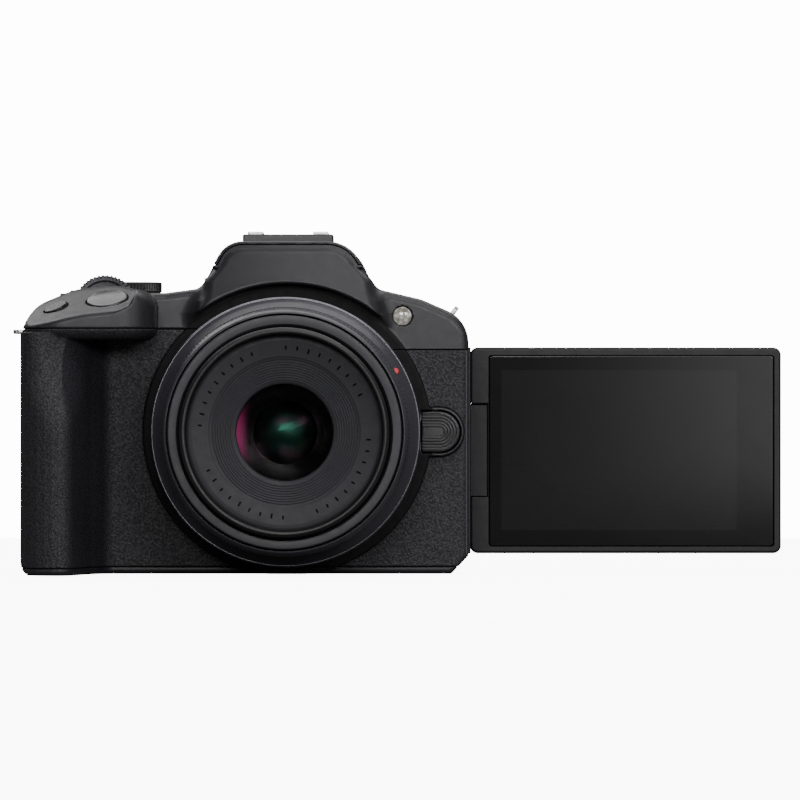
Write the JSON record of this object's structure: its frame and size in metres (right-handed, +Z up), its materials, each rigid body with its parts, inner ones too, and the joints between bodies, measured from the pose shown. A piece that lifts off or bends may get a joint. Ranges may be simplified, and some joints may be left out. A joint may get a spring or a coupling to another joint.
{
  "type": "mirrorless camera",
  "caption": "Compact interchangeable-lens camera with a moulded grip, viewfinder hump, retracting zoom lens and a hinged screen that swings out and turns.",
  "frame": {"origin": "mouth of the tripod socket in the base, below the optical axis; y = 0 is the sensor plane", "axes": "+Z up, -Y forward along the optical axis, +X towards the screen's hinge"},
  "size_m": [0.1968, 0.0921, 0.0871],
  "materials": {
    "cover_plastic": "satin dark grey, fine grain",
    "control_plastic": "semi-gloss black",
    "skin_rubber": "pebbled leather grain",
    "lens_plastic": "satin black",
    "inner_plastic": "matte black",
    "alloy": "satin",
    "steel": "blackened",
    "cell": "smooth",
    "board": "solder mask",
    "lamp": "translucent",
    "clear_glass": "coated"
  },
  "bodies": {
    "camera": {"front_cover": "cover_plastic", "top_cover": "cover_plastic", "rear_cover": "cover_plastic", "bottom_cover": "cover_plastic", "grip_skin": "skin_rubber", "front_skin": "skin_rubber", "chassis": "alloy", "tripod_socket": "alloy", "mount_flange": "alloy", "lamp_lens": "lamp", "image_sensor": "alloy", "shutter_frame": "inner_plastic", "main_board": "board", "battery": "cell", "memory_card": "cell", "viewfinder_optics": "clear_glass", "eyecup": "skin_rubber", "hot_shoe": "alloy", "strap_lugs": "alloy", "port_sockets": "board", "hinge_bracket": "steel", "screws": "steel", "lens_mount": "alloy", "lens_barrel": "lens_plastic", "rear_element": "clear_glass"},
    "shutter_key": {"shutter_button": "control_plastic"},
    "multi_key": {"multi_button": "control_plastic"},
    "main_wheel": {"main_dial": "control_plastic"},
    "mode_wheel": {"mode_dial": "control_plastic"},
    "power_switch": {"power_lever": "control_plastic"},
    "movie_key": {"movie_button": "control_plastic"},
    "iso_key": {"iso_button": "control_plastic"},
    "menu_key": {"menu_button": "control_plastic"},
    "info_key": {"info_button": "control_plastic"},
    "play_key": {"play_button": "control_plastic"},
    "lock_key": {"lock_button": "control_plastic"},
    "focus_point_key": {"focus_point_button": "control_plastic"},
    "direction_key": {"direction_pad": "control_plastic"},
    "set_key": {"set_button": "control_plastic"},
    "diopter_wheel": {"diopter_knob": "control_plastic"},
    "flash": {"flash_cover": "cover_plastic", "flash_window": "lamp"},
    "lens_release": {"release_button": "control_plastic"},
    "zoom": {"zoom_ring": "lens_plastic"},
    "front_barrel": {"inner_barrel": "lens_plastic", "name_ring": "lens_plastic", "front_element": "clear_glass", "iris_unit": "lens_plastic"},
    "control": {"control_ring": "lens_plastic"},
    "focus": {"focus_group": "clear_glass"},
    "curtain": {"shutter_curtain": "inner_plastic"},
    "battery_hatch": {"battery_door": "cover_plastic"},
    "hatch_latch": {"battery_latch": "control_plastic"},
    "upper_port": {"port_cover_upper": "skin_rubber"},
    "lower_port": {"port_cover_lower": "skin_rubber"},
    "screen_arm": {"hinge_block": "cover_plastic"},
    "screen": {"screen_frame": "cover_plastic", "screen_back": "cover_plastic", "lcd_module": "cell", "screen_glass": "clear_glass"}
  },
  "joints": [
    {"name": "shutter_press", "type": "slide", "parent": "camera", "child": "shutter_key", "axis": [0.1298, 0.4193, -0.8985], "range_m": [0, 0.0012], "stiffness_N_per_m": 700},
    {"name": "multi_press", "type": "slide", "parent": "camera", "child": "multi_key", "axis": [0.4298, 0.3998, -0.8096], "range_m": [0, 0.0006], "stiffness_N_per_m": 1500},
    {"name": "main_dial_turn", "type": "hinge", "parent": "camera", "child": "main_wheel", "pos_m": [-0.0462, -0.0145, 0.0684], "axis": [0, -0.9061, 0.4231], "continuous": true},
    {"name": "mode_dial_turn", "type": "hinge", "parent": "camera", "child": "mode_wheel", "pos_m": [-0.0405, 0.004, 0.073], "axis": [0, 0, 1], "continuous": true},
    {"name": "power_turn", "type": "hinge", "parent": "camera", "child": "power_switch", "pos_m": [-0.0525, 0.0095, 0.072], "axis": [0, 0, 1], "range_deg": [0, 40]},
    {"name": "movie_press", "type": "slide", "parent": "camera", "child": "movie_key", "axis": [0, 0, -1], "range_m": [0, 0.0005], "stiffness_N_per_m": 1500},
    {"name": "iso_press", "type": "slide", "parent": "camera", "child": "iso_key", "axis": [0, 0, -1], "range_m": [0, 0.0004], "stiffness_N_per_m": 1500},
    {"name": "menu_press", "type": "slide", "parent": "camera", "child": "menu_key", "axis": [0, -1, 0], "range_m": [0, 0.0005], "stiffness_N_per_m": 1500},
    {"name": "info_press", "type": "slide", "parent": "camera", "child": "info_key", "axis": [0, -1, 0], "range_m": [0, 0.0005], "stiffness_N_per_m": 1500},
    {"name": "play_press", "type": "slide", "parent": "camera", "child": "play_key", "axis": [0, -1, 0], "range_m": [0, 0.0005], "stiffness_N_per_m": 1500},
    {"name": "lock_press", "type": "slide", "parent": "camera", "child": "lock_key", "axis": [0, -1, 0], "range_m": [0, 0.0005], "stiffness_N_per_m": 1500},
    {"name": "focus_point_press", "type": "slide", "parent": "camera", "child": "focus_point_key", "axis": [0, -1, 0], "range_m": [0, 0.0005], "stiffness_N_per_m": 1500},
    {"name": "direction_press", "type": "slide", "parent": "camera", "child": "direction_key", "axis": [0, -1, 0], "range_m": [0, 0.0005], "stiffness_N_per_m": 1500},
    {"name": "set_press", "type": "slide", "parent": "camera", "child": "set_key", "axis": [0, -1, 0], "range_m": [0, 0.0005], "stiffness_N_per_m": 1500},
    {"name": "diopter_turn", "type": "hinge", "parent": "camera", "child": "diopter_wheel", "pos_m": [-0.0218, 0.02, 0.072], "axis": [-1, 0, 0], "range_deg": [-140, 140]},
    {"name": "flash_raise", "type": "hinge", "parent": "camera", "child": "flash", "pos_m": [0, -0.0036, 0.0805], "axis": [-1, 0, 0], "range_deg": [0, 70]},
    {"name": "release_press", "type": "slide", "parent": "camera", "child": "lens_release", "axis": [0, 1, 0], "range_m": [0, 0.0014], "stiffness_N_per_m": 1500},
    {"name": "zoom_turn", "type": "hinge", "parent": "camera", "child": "zoom", "pos_m": [0, -0.037, 0.036], "axis": [0, -1, 0], "range_deg": [0, 100]},
    {"name": "barrel_extend", "type": "slide", "parent": "camera", "child": "front_barrel", "axis": [0, -1, 0], "range_m": [0, 0.018]},
    {"name": "control_turn", "type": "hinge", "parent": "camera", "child": "control", "pos_m": [0, -0.05, 0.036], "axis": [0, -1, 0], "continuous": true},
    {"name": "focus_travel", "type": "slide", "parent": "camera", "child": "focus", "axis": [0, -1, 0], "range_m": [-0.003, 0.005]},
    {"name": "curtain_travel", "type": "slide", "parent": "camera", "child": "curtain", "axis": [0, 0, 1], "range_m": [0, 0.0172]},
    {"name": "battery_door_open", "type": "hinge", "parent": "camera", "child": "battery_hatch", "pos_m": [-0.055, 0.0129, 0.0011], "axis": [1, 0, 0], "range_deg": [0, 95]},
    {"name": "latch_slide", "type": "slide", "parent": "battery_hatch", "child": "hatch_latch", "axis": [0, 1, 0], "range_m": [0, 0.0019], "stiffness_N_per_m": 300},
    {"name": "upper_port_open", "type": "hinge", "parent": "camera", "child": "upper_port", "pos_m": [0.04515, -0.0126, 0.041], "axis": [0, 0, -1], "range_deg": [0, 95]},
    {"name": "lower_port_open", "type": "hinge", "parent": "camera", "child": "lower_port", "pos_m": [0.04515, -0.0126, 0.019], "axis": [0, 0, -1], "range_deg": [0, 95]},
    {"name": "screen_swing", "type": "hinge", "parent": "camera", "child": "screen_arm", "pos_m": [0.0463, 0.0152, 0.0311], "axis": [0, 0, -1], "range_deg": [-180, 0]},
    {"name": "screen_tilt", "type": "hinge", "parent": "screen_arm", "child": "screen", "pos_m": [0.0463, 0.0152, 0.0311], "axis": [1, 0, 0], "range_deg": [0, 270]}
  ],
  "couplings": [
    {"joint": "barrel_extend", "follows": "zoom_turn", "m_per_rad": 0.0103}
  ]
}
